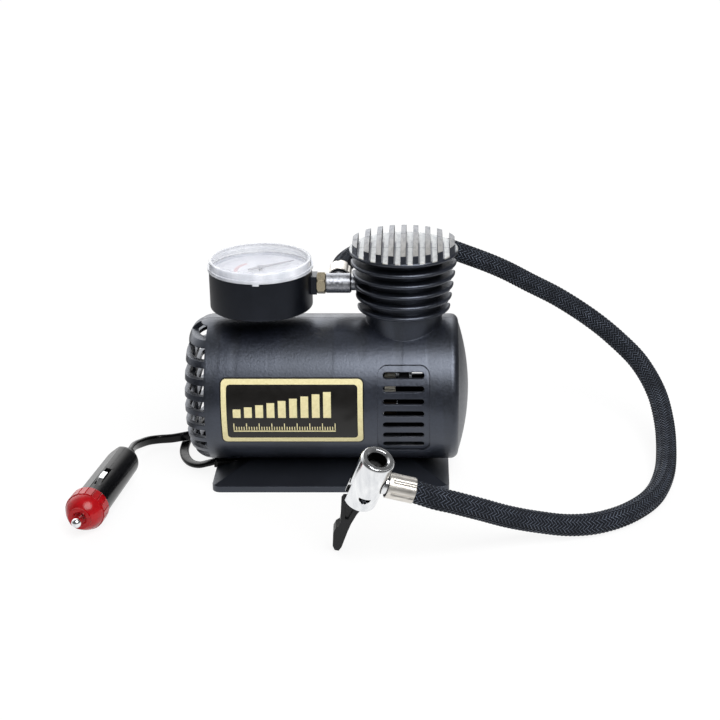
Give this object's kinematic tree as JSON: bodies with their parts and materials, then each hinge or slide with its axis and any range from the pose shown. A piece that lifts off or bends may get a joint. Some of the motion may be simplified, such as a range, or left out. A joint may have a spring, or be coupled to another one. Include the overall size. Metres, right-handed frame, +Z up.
{
  "type": "portable tire inflator",
  "caption": "Portable 12 V tire inflator: louvred black barrel on a flat foot, finned pump tower, dial gauge, braided hose with thumb-lock chuck, and a lead with a lighter-socket plug.",
  "frame": {"origin": "on the ground under the middle of the barrel", "axes": "+X along the barrel towards the pump tower, +Y to the back, +Z up"},
  "size_m": [0.3117, 0.2511, 0.1285],
  "materials": {
    "housing_plastic": "fine spark-eroded texture, injection-moulded black ABS",
    "foot_plastic": "satin injection-moulded black ABS",
    "label_film": "glossy black film with a pale yellow border",
    "gauge_plastic": "satin black moulded plastic",
    "crystal": "clear polystyrene window",
    "dial_face": "white dial with plain numbers and ticks",
    "needle": "stamped grey pointer",
    "brass": "turned brass",
    "nickel": "nickel-plated die-casting",
    "steel": "bright zinc-plated steel",
    "sheet_steel": "drawn and plated sheet steel",
    "die_cast": "die-cast aluminium",
    "machined_aluminium": "machined aluminium",
    "ferrite": "sintered ferrite",
    "copper_windings": "enamelled copper windings on a steel core",
    "gear_plastic": "natural acetal",
    "gasket_fibre": "red-brown fibre",
    "seal_rubber": "black nitrile rubber",
    "hose_braid": "black polyester braid with pale flecks over a rubber tube",
    "lever_plastic": "satin black nylon",
    "cord_pvc": "satin black PVC",
    "plug_plastic": "fine-textured black phenolic",
    "nose_plastic": "glossy red plastic",
    "fuse_glass": "glass fuse with plated caps"
  },
  "bodies": {
    "frame": {"housing_front": "housing_plastic", "housing_back": "housing_plastic", "housing_screws": "steel", "base_foot": "foot_plastic", "base_screws": "steel", "label_plate": "label_film", "gearbox_frame": "sheet_steel", "axle_bearing": "brass", "motor_can": "sheet_steel", "motor_end_cap": "lever_plastic", "motor_magnets": "ferrite", "motor_terminals": "brass", "motor_screws": "steel", "pump_cylinder": "die_cast", "cylinder_gasket": "gasket_fibre", "valve_plate": "sheet_steel", "pump_head": "die_cast", "head_screws": "steel", "outlet_nipple": "nickel", "outlet_manifold": "nickel", "gauge_nut": "brass", "gauge_case": "gauge_plastic", "gauge_movement": "brass", "gauge_dial": "dial_face", "gauge_crystal": "crystal", "hose_ferrule": "nickel", "air_hose": "hose_braid", "chuck_ferrule": "nickel", "chuck_body": "nickel", "chuck_pivot_pin": "steel", "cord_grommet": "cord_pvc", "cord_lead_near": "cord_pvc", "cord_coil": "cord_pvc", "cord_lead_far": "cord_pvc", "plug_shell_left": "plug_plastic", "plug_shell_right": "plug_plastic", "plug_nose": "nose_plastic", "plug_spring": "steel", "plug_strain_relief": "cord_pvc"},
    "motor_rotor_set": {"motor_shaft": "steel", "motor_rotor": "copper_windings", "motor_commutator": "copper_windings", "motor_pinion": "brass"},
    "crank": {"crank_gear": "gear_plastic", "gear_axle": "steel", "crank_pin": "steel"},
    "piston_set": {"connecting_rod": "machined_aluminium", "piston": "machined_aluminium", "piston_ring": "seal_rubber", "wrist_pin": "steel"},
    "needle": {"gauge_needle": "needle"},
    "thumb_lever": {"chuck_lever": "lever_plastic"},
    "plunger": {"chuck_plunger": "brass", "chuck_seal": "seal_rubber"},
    "tip": {"plug_tip": "nickel", "plug_fuse": "fuse_glass"},
    "contact_top": {"plug_contact_top": "nickel"},
    "contact_bottom": {"plug_contact_bottom": "nickel"}
  },
  "joints": [
    {"name": "crank_turn", "type": "hinge", "parent": "frame", "child": "crank", "pos_m": [0.032, 0, 0.055], "axis": [1, 0, 0], "range_deg": [-25, 25]},
    {"name": "motor_spin", "type": "hinge", "parent": "frame", "child": "motor_rotor_set", "pos_m": [0, 0, 0.0345], "axis": [1, 0, 0], "range_deg": [-75, 75]},
    {"name": "piston_stroke", "type": "slide", "parent": "frame", "child": "piston_set", "axis": [0, 0, 1], "range_m": [-0.0027, 0.0027]},
    {"name": "needle_sweep", "type": "hinge", "parent": "frame", "child": "needle", "pos_m": [-0.0342, 0, 0.11], "axis": [0, 0, -1], "range_deg": [0, 270]},
    {"name": "lever_flip", "type": "hinge", "parent": "frame", "child": "thumb_lever", "pos_m": [0.02141, -0.11101, 0.03919], "axis": [-0.0004, 0.9319, 0.3627], "range_deg": [0, 90]},
    {"name": "seal_press", "type": "slide", "parent": "frame", "child": "plunger", "axis": [0.3157, -0.344, 0.8843], "range_m": [0, 0.0012]},
    {"name": "tip_press", "type": "slide", "parent": "frame", "child": "tip", "axis": [0.153, 0.9882, 0], "range_m": [0, 0.003], "stiffness_N_per_m": 600, "springref_m": -0.001, "deforming": ["plug_spring"]},
    {"name": "contact_top_press", "type": "slide", "parent": "frame", "child": "contact_top", "axis": [-0.2391, 0.037, -0.9703], "range_m": [0, 0.0011], "stiffness_N_per_m": 400, "springref_m": -0.0005},
    {"name": "contact_bottom_press", "type": "slide", "parent": "frame", "child": "contact_bottom", "axis": [0.2391, -0.037, 0.9703], "range_m": [0, 0.0011], "stiffness_N_per_m": 400, "springref_m": -0.0005}
  ],
  "couplings": [
    {"joint": "motor_spin", "follows": "crank_turn", "ratio": -3},
    {"joint": "piston_stroke", "follows": "crank_turn", "m_per_rad": -0.006},
    {"joint": "seal_press", "follows": "lever_flip", "m_per_rad": 0.000764}
  ]
}
